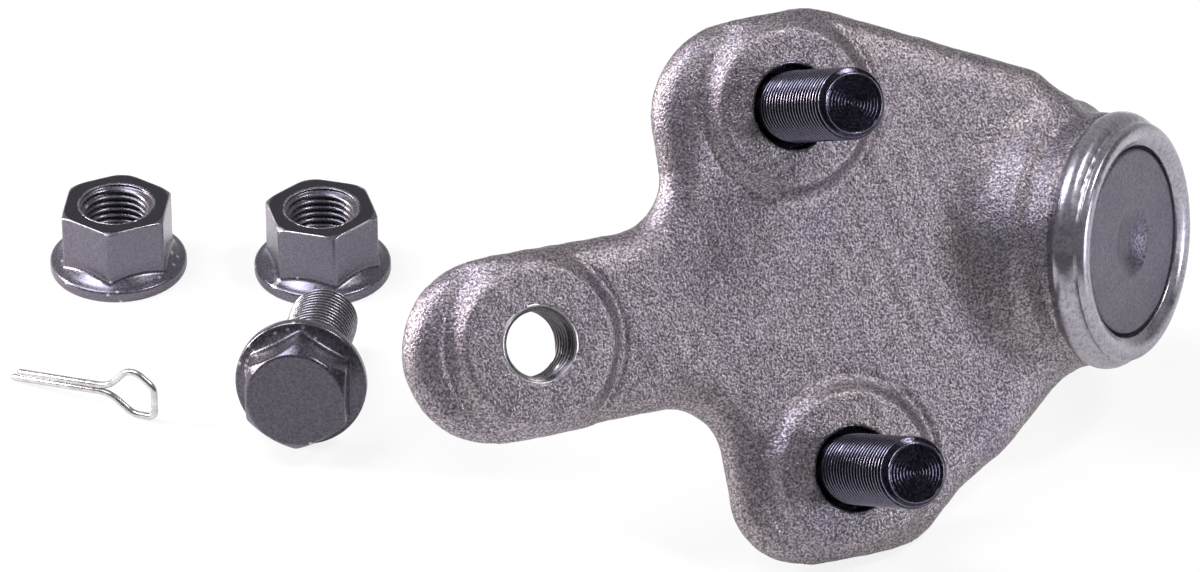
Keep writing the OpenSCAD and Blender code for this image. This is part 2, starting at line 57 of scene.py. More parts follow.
ARM_R = 15.2
ARM_END = 21.7
LOBE_REACH = 15.6
LOBE_INNER = 22.0
BALL = np.array([97.1, 0.8, -14.8])
SOCKET_TILT = 39.3
SOCKET_TURN = -17.3
BALL_R = 14.0
NECK_R = 7.1
CAVITY_R = 16.6
SOCKET_R = 21.1
MOUTH_S = 14.0
MOUTH_R = 15.9
THROAT_S = 8.0
THROAT_R = 12.9
RIM_R = 18.7
GROOVE_R = 17.4
GROOVE_S = (9.5, 12.5)
COVER_S = 17.2
COVER_T = 1.6
COVER_R = 17.35
COVER_VIEW_R = 16.2
DIMPLE_R = 5.5
DIMPLE_DEPTH = 1.5
THREAD_R = 5.95
TAP_R = 5.4
PITCH = 1.25
STUD_REACH = 26.0
STUD_BORE_R = 7.0
STUD_BORE_DEPTH = 4.5
STUD_HEAD_R = 9.5
STUD_HEAD_T = 3.6
TAPER_S = 27.0
TAPER_R = 9.2
TAPER_L = 21.0
TAPER_END_R = (2 * TAPER_R - TAPER_L / 8) / 2
NUT_SEAT_S = TAPER_S + TAPER_L + 2
STUD_THREAD_R = 6.95
STUD_PITCH = 1.5
STUD_END_S = NUT_SEAT_S + 17.0
CASTLE_AF = 22.0
CASTLE_H = 14.5
SLOT_DEPTH = 5.0
SLOT_W = 3.8
COTTER_HOLE_R = 1.7
BOOT_T = 1.6
BOOT_R = 22.6
NUT_AF = 18.0
NUT_FLANGE_R = 12.0
NUT_H = 13.0
FLANGE_RIM = 2.1
BOLT_AF = 17.0
BOLT_FLANGE_R = 11.2
BOLT_HEAD_H = 9.4
BOLT_L = 28.0
PIN_WIRE = 0.6
PIN_L = 20.0
EYE_L = 10.0
EYE_W = 9.6
NUT_LEFT_AT = (-73.5, 88.5, -5.5)
NUT_RIGHT_AT = (-37.5, 87.2, 15.0)
BOLT_AT = (-39.2, 36.0, 6.0)
PIN_AT = (-72.6, 43.3, -27.7)
FLOOR_Z = -41.93

# The photograph's camera
CAMERA_MM = (11.3, -1022.0, 675.0)
CAMERA_DROP = 33.0
CAMERA_LENS = 225.0

# Sizes that only this script has
THREAD_DEPTH = 0.7
STUD_THREAD_DEPTH = 0.75
BOOT_LIP_R = TAPER_R + 0.15
BOOT_PARTING = 1.9
RING_WIRE = 0.42
RING_TURNS = 1.94
SIDES = 96
FINE_SIDES = 256


# Places and directions


def turn(axis, degrees):
    """A rotation matrix about the x, y or z axis."""
    c, s = math.cos(math.radians(degrees)), math.sin(math.radians(degrees))
    rows = {
        "x": [[1, 0, 0], [0, c, -s], [0, s, c]],
        "y": [[c, 0, s], [0, 1, 0], [-s, 0, c]],
        "z": [[c, -s, 0], [s, c, 0], [0, 0, 1]],
    }
    return np.array(rows[axis], float)


BODY = turn("z", BODY_TURN[2]) @ turn("y", BODY_TURN[1]) @ turn("x", BODY_TURN[0])
SOCKET = turn("z", SOCKET_TURN) @ turn("y", SOCKET_TILT)
HOLE_MIDDLE = np.array([0, 0, -PLATE_T / 2])
FLIP = turn("x", 180)


def placed(points, rotation, origin):
    """Points in millimetres turned and moved."""
    return np.asarray(points, float) @ rotation.T + np.asarray(origin, float)


def laid(points):
    """From the plate's frame to the scene, in metres."""
    return placed(np.asarray(points, float) - HOLE_MIDDLE, BODY, (0, 0, 0)) * MM


def in_socket(points):
    """From the socket's frame, with the ball's centre at its origin, to the scene."""
    return laid(placed(points, SOCKET, BALL))


# Meshes


def smooth_min(a, b, k):
    """The smaller of two distances, blended over the width k."""
    h = np.maximum(k - np.abs(a - b), 0) / k
    return np.minimum(a, b) - h * h * k / 4


def smooth_max(a, b, k):
    """The larger of two distances, blended over the width k."""
    return -smooth_min(-a, -b, k)


def slab(edge, z, low, high, r):
    """Distance to a prism whose outline's distance is edge, with rounded edges."""
    across = edge + r
    along = np.abs(z - (low + high) / 2) - (high - low) / 2 + r
    outside = np.hypot(np.maximum(across, 0), np.maximum(along, 0))
    return np.minimum(np.maximum(across, along), 0) + outside - r


def polygon_distance(x, y, corners):
    """Signed distance in a plane to a polygon, negative inside."""
    best = np.full(np.broadcast(x, y).shape, 1e9)
    inside = np.zeros(best.shape, bool)
    for (ax, ay), (bx, by) in zip(corners, np.roll(corners, -1, axis=0)):
        ex, ey = bx - ax, by - ay
        wx, wy = x - ax, y - ay
        t = np.clip((wx * ex + wy * ey) / (ex * ex + ey * ey), 0, 1)
        best = np.minimum(best, (wx - t * ex) ** 2 + (wy - t * ey) ** 2)
        if ay != by:
            crossing = ((ay <= y) != (by <= y)) & (x < ax + (y - ay) * ex / ey)
            inside ^= crossing
    return np.where(inside, -1, 1) * np.sqrt(best)


def hexagon_distance(x, y, flats):
    """Distance to a regular hexagon with a corner on the x axis."""
    best = np.full(np.broadcast(x, y).shape, -1e9)
    for k in range(6):
        a = math.radians(30 + 60 * k)
        best = np.maximum(best, x * math.cos(a) + y * math.sin(a) - flats / 2)
    return best


def surface(field, low, high, step):
    """Points and quads on the zero surface of a distance field, by surface nets."""
    axes = [np.arange(a, b + step, step) for a, b in zip(low, high)]
    values = field(*np.meshgrid(*axes, indexing="ij", sparse=True))
    values = np.ascontiguousarray(np.broadcast_to(values, [len(a) for a in axes]))
    inside = values < 0
    corners = [(i, j, k) for i in (0, 1) for j in (0, 1) for k in (0, 1)]
    n = np.array(inside.shape)
    count = np.zeros(n - 1, np.int8)
    for i, j, k in corners:
        count += inside[i : n[0] - 1 + i, j : n[1] - 1 + j, k : n[2] - 1 + k]
    active = (count > 0) & (count < 8)
    cells = np.argwhere(active)
    number = np.full(active.shape, -1, np.int64)
    number[active] = np.arange(len(cells))
    total = np.zeros((len(cells), 3))
    hits = np.zeros(len(cells))
    for a in corners:
        for axis in range(3):
            if a[axis]:
                continue
            b = list(a)
            b[axis] = 1
            va = values[tuple((cells + a).T)]
            vb = values[tuple((cells + b).T)]
            cross = (va < 0) != (vb < 0)
            t = np.where(cross, va / np.where(cross, va - vb, 1), 0)
            point = np.array(a) + t[:, None] * (np.array(b) - a)
            total += point * cross[:, None]
            hits += cross
    points = np.array(low) + step * (cells + total / hits[:, None])
    quads = []
    for axis in range(3):
        one, two = (axis + 1) % 3, (axis + 2) % 3
        first = [slice(None)] * 3
        second = [slice(None)] * 3
        first[axis], second[axis] = slice(0, -1), slice(1, None)
        g = np.argwhere(inside[tuple(first)] != inside[tuple(second)])
        for side in (one, two):
            g = g[(g[:, side] > 0) & (g[:, side] < n[side] - 1)]
        du, dv = np.eye(3, dtype=int)[one], np.eye(3, dtype=int)[two]
        quad = np.stack([number[tuple((g - d).T)] for d in (0 * du, du, du + dv, dv)], 1)
        forward = inside[tuple(g.T)]
        quads.append(np.where(forward[:, None], quad, quad[:, ::-1]))
    for _ in range(2):
        points = on_surface(field, points, step)
    return points, np.concatenate(quads)


def field_slope(field, points, h):
    """The field's slope at each point, from differences over h to either side."""
    x, y, z = points.T
    ahead = [field(x + h, y, z), field(x, y + h, z), field(x, y, z + h)]
    behind = [field(x - h, y, z), field(x, y - h, z), field(x, y, z - h)]
    return np.stack([a - b for a, b in zip(ahead, behind)], 1) / (2 * h)


def on_surface(field, points, step):
    """Points moved along the field's slope onto its zero surface."""
    slope = field_slope(field, points, 0.02)
    size = np.maximum((slope**2).sum(1), 0.2)
    move = np.clip(field(*points.T) / size, -0.5 * step, 0.5 * step)
    return points - slope * move[:, None]


def grid(rows, columns):
    """Quads over rows of points, the columns joined round."""
    j, i = np.meshgrid(np.arange(rows - 1), np.arange(columns), indexing="ij")
    k = (i + 1) % columns
    below, above = j * columns, (j + 1) * columns
    return np.stack([below + i, below + k, above + k, above + i], -1).reshape(-1, 4)


def circle(sides):
    """Angles round a circle."""
    return np.arange(sides) * 2 * math.pi / sides


def lathe(profile, sides=SIDES):
    """A turned shell from points of radius and height, listed so that outside is on the right."""
    profile = np.asarray(profile, float)
    angle = circle(sides)
    r, z = profile[:, :1], profile[:, 1:]
    points = np.stack([r * np.cos(angle), r * np.sin(angle), z + 0 * angle], -1)
    return points.reshape(-1, 3), grid(len(profile), sides)


def rounded(profile, r, steps=5):
    """A profile whose inner corners are rounded by r, or by a third number of their own."""
    out = []
    for i, p in enumerate(profile):
        own = p[2] if len(p) > 2 else r
        here = np.array(p[:2], float)
        if i in (0, len(profile) - 1) or own == 0:
            out.append(here)
            continue
        a = np.array(profile[i - 1][:2], float) - here
        b = np.array(profile[i + 1][:2], float) - here
        reach = min(own, 0.45 * np.hypot(*a), 0.45 * np.hypot(*b))
        start, end = here + a / np.hypot(*a) * reach, here + b / np.hypot(*b) * reach
        for t in np.linspace(0, 1, steps):
            out.append((1 - t) ** 2 * start + 2 * t * (1 - t) * here + t * t * end)
    return np.array(out)


def threaded(profile, pitch, depth, inward=False):
    """A turned shell whose rows are cut by a thread where the third number of the profile is 1."""
    profile = np.asarray(profile, float)
    angle = circle(SIDES)
    r, z, cut = profile[:, :1], profile[:, 1:2], profile[:, 2:3]
    phase = (z / pitch - angle / (2 * math.pi)) % 1
    tooth = np.clip(1.25 - np.abs(phase - 0.5) * 2 * 1.55, 0, 1)
    groove = depth * cut * (1 - tooth)
    r = r + groove if inward else r - groove
    points = np.stack([r * np.cos(angle), r * np.sin(angle), z + 0 * angle], -1)
    return points.reshape(-1, 3), grid(len(profile), SIDES)


def thread_rows(r0, z0, r1, z1, fade=(0, 0)):
    """Rows of a threaded stretch, with the thread fading in or out over its ends."""
    n = max(2, int(abs(z1 - z0) / 0.1))
    t = np.linspace(0, 1, n)
    z = z0 + (z1 - z0) * t
    r = r0 + (r1 - r0) * t
    cut = np.ones(n)
    if fade[0]:
        cut = np.minimum(cut, np.abs(z - z0) / fade[0])
    if fade[1]:
        cut = np.minimum(cut, np.abs(z1 - z) / fade[1])
    return np.stack([r, z, cut], 1)


def joined(*parts):
    """Several lists of points and quads as one."""
    points, quads, start = [], [], 0
    for p, q in parts:
        points.append(p)
        quads.append(np.asarray(q) + start)
        start += len(p)
    return np.concatenate(points), np.concatenate(quads)


def piece(name, mesh_data, body, nodes=(), material=None, weld=False):
    """A mesh object from points in metres and quads, riding on a body."""
    points, quads = mesh_data
    mesh = bpy.data.meshes.new(name)
    mesh.vertices.add(len(points))
    mesh.vertices.foreach_set("co", np.asarray(points, np.float32).ravel())
    mesh.loops.add(4 * len(quads))
    mesh.loops.foreach_set("vertex_index", np.asarray(quads, np.int32).ravel())
    mesh.polygons.add(len(quads))
    mesh.polygons.foreach_set("loop_start", np.arange(0, 4 * len(quads), 4, dtype=np.int32))
    mesh.polygons.foreach_set("use_smooth", np.ones(len(quads), bool))
    mesh.update(calc_edges=True)
    mesh.validate()
    obj = bpy.data.objects.new(name, mesh)
    bpy.context.scene.collection.objects.link(obj)
    if weld:
        bm = bmesh.new()
        bm.from_mesh(mesh)
        bmesh.ops.remove_doubles(bm, verts=bm.verts, dist=1e-7)
        bmesh.ops.dissolve_degenerate(bm, edges=bm.edges, dist=1e-7)
        bm.to_mesh(mesh)
        bm.free()
    if material:
        mesh.materials.append(material)
    if body:
        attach(obj, body)
    if nodes:
        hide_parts(*nodes)
    return obj


# Materials


def node(tree, kind, inputs=(), **settings):
    """A shader node with its settings, and its inputs by name."""
    n = tree.nodes.new(kind)
    for key, value in settings.items():
        setattr(n, key, value)
    for key, value in dict(inputs).items():
        if isinstance(value, bpy.types.NodeSocket):
            tree.links.new(value, n.inputs[key])
        else:
            n.inputs[key].default_value = value
    return n


def new_material(name, metallic, roughness):
    """A Principled material: the tree, its shader, and object coordinates."""
    material = bpy.data.materials.new(name)
    material.use_nodes = True
    tree = material.node_tree
    shader = tree.nodes["Principled BSDF"]
    shader.inputs["Metallic"].default_value = metallic
    shader.inputs["Roughness"].default_value = roughness
    place = tree.nodes.new("ShaderNodeTexCoord").outputs["Object"]
    return material, tree, shader, place


def noise(tree, place, scale, detail=3.0, rough=0.55):
    """A noise texture's factor, its scale in waves per metre."""
    inputs = {"Vector": place, "Scale": scale, "Detail": detail, "Roughness": rough}
    return node(tree, "ShaderNodeTexNoise", inputs).outputs["Fac"]


def ramp(tree, value, stops):
    """A colour ramp over stops of place and colour."""
    n = node(tree, "ShaderNodeValToRGB", {"Fac": value})
    band = n.color_ramp
    while len(band.elements) < len(stops):
        band.elements.new(0.5)
    for element, (where, colour) in zip(band.elements, stops):
        element.position = where
        element.color = (*colour, 1)
    return n.outputs["Color"]


def grey(*values):
    """Stops of a ramp between greys."""
    return [(where, (v, v, v)) for where, v in values]


def maths(tree, operation, a, b):
    """A maths node's value, from values or sockets."""
    return node(tree, "ShaderNodeMath", {0: a, 1: b}, operation=operation).outputs[0]


def mix(tree, factor, a, b, blend="MIX"):
    """Two colours mixed, each a value or a socket."""
    n = node(tree, "ShaderNodeMix", data_type="RGBA", blend_type=blend)
    for key, value in ((0, factor), (6, a), (7, b)):
        if isinstance(value, bpy.types.NodeSocket):
            tree.links.new(value, n.inputs[key])
        elif key == 0:
            n.inputs[key].default_value = value
        else:
            n.inputs[key].default_value = (*value, 1)
    return n.outputs[2]


def bump(tree, shader, height, strength, distance):
    """A height as the shader's bump, its distance in metres."""
    inputs = {"Height": height, "Strength": strength, "Distance": distance}
    normal = node(tree, "ShaderNodeBump", inputs).outputs["Normal"]
    tree.links.new(normal, shader.inputs["Normal"])


def colours(tree, shader, value, stops):
    """A ramp over the value as the shader's colour."""
    tree.links.new(ramp(tree, value, stops), shader.inputs["Base Color"])


def gloss(tree, shader, value, *stops):
    """A ramp over the value as the shader's roughness."""
    tree.links.new(ramp(tree, value, grey(*stops)), shader.inputs["Roughness"])


def forged_steel():
    """Shot-blasted forging: dull grey with a purple cast, coarse grain and darker stains."""
    m, tree, shader, place = new_material("forged_steel", 0.9, 0.45)
    grain = noise(tree, place, 2600, 2, 0.6)
    patch = noise(tree, place, 60, 4, 0.6)
    dark, middle, light = (0.095, 0.082, 0.096), (0.222, 0.2, 0.217), (0.43, 0.396, 0.412)
    tone = ramp(tree, grain, [(0.36, dark), (0.5, middle), (0.64, light)])
    blue, plain, warm = (0.92, 0.91, 0.98), (1, 1, 1), (1.02, 1.0, 0.97)
    stain = ramp(tree, patch, [(0.3, blue), (0.5, plain), (0.7, warm)])
    tree.links.new(mix(tree, 1.0, tone, stain, "MULTIPLY"), shader.inputs["Base Color"])
    gloss(tree, shader, grain, (0.35, 0.48), (0.7, 0.34))
    bump(tree, shader, grain, 0.9, 0.00018)
    return m


def rolled_steel():
    """The rolled rim: burnished steel with dull specks and uneven gloss."""
    m, tree, shader, place = new_material("rolled_steel", 0.9, 0.3)
    speck = noise(tree, place, 1700, 4, 0.6)
    patch = noise(tree, place, 160, 3, 0.5)
    colours(tree, shader, speck, [(0.3, (0.2, 0.19, 0.22)), (0.55, (0.37, 0.355, 0.39))])
    gloss(tree, shader, patch, (0.35, 0.2), (0.7, 0.36))
    bump(tree, shader, speck, 0.15, 0.0001)
    return m


def cover_steel():
    """Dark pressed sheet: satin, flecked, with a fine grain."""
    m, tree, shader, place = new_material("cover_steel", 0.92, 0.36)
    speck = noise(tree, place, 2100, 3, 0.6)
    patch = noise(tree, place, 110, 3, 0.55)
    tone = ramp(tree, patch, [(0.35, (0.85, 0.84, 0.87)), (0.7, (1, 1, 1))])
    fleck = ramp(tree, speck, [(0.38, (0.085, 0.079, 0.1)), (0.62, (0.175, 0.165, 0.2))])
    tree.links.new(mix(tree, 1.0, fleck, tone, "MULTIPLY"), shader.inputs["Base Color"])
    gloss(tree, shader, speck, (0.35, 0.3), (0.7, 0.42))
    bump(tree, shader, speck, 0.7, 0.00016)
    return m


def black_phosphate(name, dark, light, worn_and_lit, metallic, roughness, top=None):
    """Black phosphate coat, its edges and thread crests lighter as rubbed bare steel and painted
    highlight, and its level top painted darker as a painted dark reflection.
    """
    m, tree, shader, place = new_material(name, metallic, roughness)
    speck = noise(tree, place, 2200, 3, 0.6)
    geometry = node(tree, "ShaderNodeNewGeometry").outputs
    # Convex points take the worn colour: rubbed steel, and on thread crests also a painted
    # highlight over roots left dark as painted shade.
    wear_and_highlight = ramp(tree, geometry["Pointiness"], grey((0.52, 0), (0.57, 1)))
    coat = ramp(tree, speck, [(0.35, dark), (0.65, light)])
    colour = mix(tree, wear_and_highlight, coat, worn_and_lit)
    rough = ramp(tree, speck, grey((0.35, roughness * 0.8), (0.7, roughness * 1.3)))
    # The level top is painted darker and glossier: a painted dark reflection, picked out by the
    # upward normal.
    if top:
        up = node(tree, "ShaderNodeSeparateXYZ", {"Vector": geometry["Normal"]}).outputs["Z"]
        level = ramp(tree, up, grey((0.96, 0), (0.99, 1)))
        colour = mix(tree, level, colour, top)
        rough = mix(tree, level, rough, (0.16, 0.16, 0.16))
    tree.links.new(colour, shader.inputs["Base Color"])
    tree.links.new(rough, shader.inputs["Roughness"])
    bump(tree, shader, speck, 0.2, 0.0001)
    return m


def plain_metal(name, dark, light, roughness):
    """Machined or plated steel with a little unevenness."""
    m, tree, shader, place = new_material(name, 0.95, roughness)
    speck = noise(tree, place, 700, 4, 0.6)
    colours(tree, shader, speck, [(0.35, dark), (0.65, light)])
    gloss(tree, shader, speck, (0.3, roughness * 0.8), (0.7, roughness * 1.25))
    bump(tree, shader, speck, 0.12, 0.00008)
    return m


def rubber():
    """Black chloroprene with a dusty bloom."""
    m, tree, shader, place = new_material("boot_rubber", 0.0, 0.55)
    bloom = noise(tree, place, 130, 5, 0.6)
    colours(tree, shader, bloom, [(0.35, (0.012, 0.012, 0.013)), (0.75, (0.035, 0.034, 0.034))])
    gloss(tree, shader, bloom, (0.35, 0.45), (0.7, 0.65))
    bump(tree, shader, noise(tree, place, 1800, 2), 0.15, 0.0001)
    return m


def seat_plastic():
    """Natural acetal with faint mottling."""
    m, tree, shader, place = new_material("seat_plastic", 0.0, 0.4)
    cloud = noise(tree, place, 220, 3)
    colours(tree, shader, cloud, [(0.35, (0.72, 0.7, 0.62)), (0.7, (0.82, 0.8, 0.72))])
    bump(tree, shader, noise(tree, place, 1400, 2), 0.1, 0.0001)
    return m


FORGED = forged_steel()
ROLLED = rolled_steel()
COVER = cover_steel()
BOLT_BLACK = black_phosphate(
    "bolt_black", (0.06, 0.055, 0.07), (0.115, 0.106, 0.13), (0.4, 0.38, 0.4), 0.8, 0.27
)
STUD_BLACK = black_phosphate(
    "stud_black", (0.006, 0.006, 0.009), (0.042, 0.039, 0.062), (0.22, 0.21, 0.27), 0.85, 0.17
)
# The top colour paints the nuts' level top faces dark as a painted reflection.
NUT_BLACK = black_phosphate(
    "nut_black", (0.115, 0.106, 0.132), (0.165, 0.153, 0.186), (0.55, 0.53, 0.55), 0.8, 0.28,
    top=(0.04, 0.037, 0.048),
)
# Its bright worn colour on the crests is partly rubbed steel and partly painted highlight, which
# shows the thread in the shaded bore.
THREAD_STEEL = black_phosphate(
    "thread_steel", (0.05, 0.046, 0.054), (0.13, 0.12, 0.135), (0.62, 0.59, 0.6), 0.9, 0.32
)
BALL_STEEL = plain_metal("ball_steel", (0.36, 0.35, 0.35), (0.5, 0.49, 0.48), 0.32)
ZINC = plain_metal("zinc", (0.4, 0.4, 0.39), (0.6, 0.6, 0.585), 0.24)
WIRE = plain_metal("spring_wire", (0.45, 0.45, 0.46), (0.62, 0.62, 0.62), 0.25)
RUBBER = rubber()
SEAT = seat_plastic()


# The forging


def plate_outline():
    """The plate's outline: rounded corners of x, y and radius, anticlockwise."""
    edge_y = LOBE_Y + LOBE_REACH
    inner_x = STUD_X - LOBE_INNER
    ball_x, ball_y = BALL[0], BALL[1]
    corners = [
        (-ARM_END, -ARM_R, ARM_R - 0.2),
        (inner_x + 1.4, -ARM_R, 9.5),
        (inner_x + 1.5, -edge_y + 1, 12.5),
        (STUD_X + 11.7, -edge_y + 1, 9),
        (STUD_X + 20.2, -edge_y + 8, 10),
        (STUD_X + 29.7, -edge_y + 13, 14),
        (ball_x - 2.5, ball_y - 22.3, 3.5),
        (ball_x + 3, ball_y - 14, 3.5),
        (ball_x + 6.5, ball_y + 21, 5),
        (ball_x + 0.5, ball_y + 27.8, 8),
        (STUD_X + 8.7, edge_y, 22),
        (inner_x - 1, edge_y, 16),
        (inner_x - 1.2, ARM_R, 9),
        (-ARM_END, ARM_R, ARM_R - 0.2),
    ]
    out = []
    for i, (x, y, r) in enumerate(corners):
        here = np.array([x, y])
        u = here - np.array(corners[i - 1][:2])
        v = np.array(corners[(i + 1) % len(corners)][:2]) - here
        u, v = u / np.hypot(*u), v / np.hypot(*v)
        bend = math.atan2(u[0] * v[1] - u[1] * v[0], u @ v)
        start = here - u * r * math.tan(abs(bend) / 2)
        centre = start + np.array([-u[1], u[0]]) * math.copysign(r, bend)
        steps = math.ceil(abs(bend) / math.radians(6))
        for k in range(steps + 1):
            c, s = math.cos(bend * k / steps), math.sin(bend * k / steps)
            d = start - centre
            out.append(centre + [d[0] * c - d[1] * s, d[0] * s + d[1] * c])
    return np.array(out)


OUTLINE = plate_outline()
PAD_PLACES = ((0, 0), (STUD_X, -LOBE_Y), (STUD_X, LOBE_Y))
PAD_SLOPE = 46
PAD_RIM_R = 12.7
PAD_FOOT_R = 15.6
COLLAR_R = 23.1
COLLAR_TOP_S = 5.8
FLARE = 4.3
EDGE_FALL = 2.6
EDGE_WIDTH = 6.5
SOCKET_PROFILE = np.array(
    [
        (0, -MOUTH_S),
        (RIM_R, -MOUTH_S),
        (RIM_R, -GROOVE_S[1]),
        (GROOVE_R, -GROOVE_S[1]),
        (GROOVE_R, -GROOVE_S[0]),
        (RIM_R + 0.4, -GROOVE_S[0]),
        (RIM_R + 0.4, -THROAT_S - 0.4),
        (SOCKET_R, -THROAT_S + 1.2),
        (SOCKET_R, 11.5),
        (SOCKET_R - 0.8, 12.5),
        (0, 12.5),
    ]
)
CAVITY_PROFILE = np.array(
    [
        (0, -MOUTH_S - 3),
        (MOUTH_R + 1.2, -MOUTH_S - 3),
        (MOUTH_R, -MOUTH_S),
        (THROAT_R, -THROAT_S),
        (CAVITY_R, -3.4),
        (CAVITY_R, 15),
        (0, 15),
    ]
)
BOOT_ROOM = np.array(
    [
        (0, -GROOVE_S[0] + 0.6),
        (GROOVE_R + BOOT_T + 2.4, -GROOVE_S[0] + 0.6),
        (BOOT_R + 1.6, -MOUTH_S),
        (BOOT_R + 1.6, -TAPER_S),
        (0, -TAPER_S),
    ]
)


def forging_field(x, y, z):
    """Distance to the forging, in the plate's frame."""
    edge = polygon_distance(x, y, OUTLINE)
    fall = EDGE_FALL * np.clip(1 + edge / EDGE_WIDTH, 0, 1.2) ** 2
    web = slab(edge, z + fall, -PLATE_T + fall, -PAD_H, 2.4)
    high = slab(edge, z + 0.7 * fall, -PLATE_T + fall, 0.5, 2.4)
    pads = np.full(np.broadcast(x, y, z).shape, 1e3)
    foot = 0
    slope = math.radians(PAD_SLOPE)
    for px, py in PAD_PLACES:
        out = np.hypot(x - px, y - py)
        side = (out - PAD_RIM_R) * math.sin(slope) + z * math.cos(slope)
        pads = np.minimum(pads, smooth_max(side, z + 0 * out, 0.3))
        foot = foot + np.exp(-(((out - PAD_FOOT_R) / 0.4) ** 2))
    pads = np.maximum(pads, -5.5 - z)
    plate = smooth_max(smooth_min(web + 0.4 * foot, pads, 0.5), high, 0.9)
    vx, vy, vz = x - BALL[0], y - BALL[1], z - BALL[2]
    ax, ay, az = SOCKET[:, 2]
    s = vx * ax + vy * ay + vz * az
    out = np.sqrt(np.maximum(vx * vx + vy * vy + vz * vz - s * s, 0))
    neck = polygon_distance(out, s, SOCKET_PROFILE)
    sx, sy, sz = SOCKET[:, 0]
    front = np.clip(-(vx * sx + vy * sy + vz * sz) / np.maximum(out, 1), 0, 1)
    collar = slab(out - COLLAR_R, s - 1.3 * front, -7, COLLAR_TOP_S, 1.6)
    socket = smooth_min(neck, collar, 1.8)
    low_side = np.clip((8 - y) / 26, 0, 1)
    body = smooth_min(plate, socket, FLARE * (1 + 0.4 * low_side))
    room = polygon_distance(out, s, BOOT_ROOM)
    kept = np.minimum(plate, neck)
    body = smooth_min(kept, smooth_max(body, -room, 1.0), 0.4)
    cavity = polygon_distance(out, s, CAVITY_PROFILE)
    body = smooth_max(body, -cavity, 0.3)
    body = np.maximum(body, 6.35 - np.hypot(x, y))
    for py in (-LOBE_Y, LOBE_Y):
        bore = np.hypot(x - STUD_X, y - py)
        body = np.maximum(body, -np.maximum(bore - STUD_BORE_R - 0.08, -STUD_BORE_DEPTH - z))
        body = np.maximum(body, 6.3 - bore)
    return body


def uneven(points, seed, sizes, amounts):
    """A smooth random height at each point, from waves of the given sizes."""
    rng = np.random.default_rng(seed)
    height = np.zeros(len(points))
    for size, amount in zip(sizes, amounts):
        for _ in range(14):
            direction = rng.normal(size=3)
            direction /= np.linalg.norm(direction)
            wave = 2 * math.pi / (size * rng.uniform(0.7, 1.4))
            height += amount / 3.7 * np.sin(points @ direction * wave + rng.uniform(0, 6.28))
    return height


def make_forging():
    """The forging's skin, a little uneven."""
    step = 0.52
    points, quads = surface(forging_field, (-23.2, -46.8, -40), (124, 47.8, 13), step)
    slope = field_slope(forging_field, points, 0.05)
    slope /= np.maximum(np.linalg.norm(slope, axis=1, keepdims=True), 1e-5)
    height = uneven(points, 3, (14, 6, 2.6), (0.05, 0.045, 0.03))
    points = points + slope * height[:, None]
    piece("forging", (laid(points), quads), "socket_body", ["housing"], FORGED)


def make_socket_rim():
    """The socket's bead, groove and rolled lip. One side of the groove is rolled shut."""
    profile = rounded(
        [
            (20.2, 10.6, 0),
            (20.95, 12.3, 0.2),
            (21.25, 12.7, 0.2),
            (21.72, 13.25, 0.6),
            (21.75, 14.4, 0.9),
            (21.3, 15.5, 0.7),
            (20.5, 16.15, 0.4),
            (20.05, 16.45, 0.25),
            (20.05, 16.95, 0.25),
            (20.25, 17.25, 0.3),
            (19.95, 18.15, 0.8),
            (18.8, 18.62, 0.8),
            (17.4, 18.2, 0.7),
            (16.6, 17.6, 0.45),
            (COVER_VIEW_R, 17.3, 0.2),
            (COVER_VIEW_R, 16.0, 0),
        ],
        0.5,
    )
    points, quads = lathe(profile, FINE_SIDES)
    angle = np.degrees(np.arctan2(points[:, 1], points[:, 0])) % 360
    shut = np.exp(-(((angle - 187) / 24) ** 2))
    out = np.hypot(points[:, 0], points[:, 1])
    groove = np.exp(-(((points[:, 2] - 16.7) / 0.75) ** 2)) * (out > 19.6)
    ragged = 0.07 * np.sin(angle * 0.9) + 0.05 * np.sin(angle * 2.3 + 1)
    ragged += 0.04 * np.sin(angle * 5.1)
    fill = groove * (0.42 * shut + ragged * (1 - shut))
    points[:, :2] *= (1 + fill / np.maximum(out, 1))[:, None]
    points[:, 2] += 0.03 * np.sin(np.radians(3 * angle)) * (out < 17)
    piece("socket_rim", (in_socket(points), quads), "socket_body", [], ROLLED)


def make_cover():
    """Pressed cover plate: a dimple, a drawn edge and faint tool arcs beside the dimple."""
    profile = [(COVER_R, COVER_S - COVER_T), (COVER_R, COVER_S - 1.1), (15.95, COVER_S - 1.1)]
    profile += [(15.8, COVER_S - 0.9), (15.62, COVER_S - 0.25), (15.4, COVER_S - 0.06)]
    profile += [(r, COVER_S) for r in np.linspace(15.1, DIMPLE_R + 1.0, 90)]
    for t in np.linspace(0, 1, 28):
        depth = DIMPLE_DEPTH * math.sin(min(1, 1.15 * t) * math.pi / 2) ** 1.3
        profile.append(((DIMPLE_R + 0.55) * (1 - t), COVER_S - depth))
    profile[-1] = (0.01, profile[-1][1])
    points, quads = lathe(profile, FINE_SIDES)
    out = np.hypot(points[:, 0], points[:, 1])
    angle = np.degrees(np.arctan2(points[:, 1], points[:, 0])) % 360
    arcs = ((8.2, 205, 32), (9.1, 196, 24), (10.2, 208, 20), (12.6, 190, 16), (13.4, 60, 26))
    for r, middle, wide in arcs:
        points[:, 2] -= 0.09 * np.exp(-(((out - r) / 0.17) ** 2) - ((angle - middle) / wide) ** 2)
    under = COVER_S - COVER_T
    deep = under - DIMPLE_DEPTH
    back = rounded([(0.01, deep), (3.5, deep), (DIMPLE_R, under), (COVER_R, under)], 0.6)
    points, quads = joined((points, quads), lathe(back, FINE_SIDES))
    mesh = (in_socket(points), quads)
    piece("cover", mesh, "socket_body", ["cover_plate"], COVER, weld=True)


def bore_ring(inner, outer, top, bottom):
    """A thin ring that lines a bore and its mouth, to carry the bore's painted shade."""
    profile = [(outer, bottom), (outer, top - 0.25), (outer - 0.05, top + 0.03)]
    profile += [(inner + 0.25, top + 0.03), (inner, top - 0.2), (inner, bottom)]
    return lathe(profile)


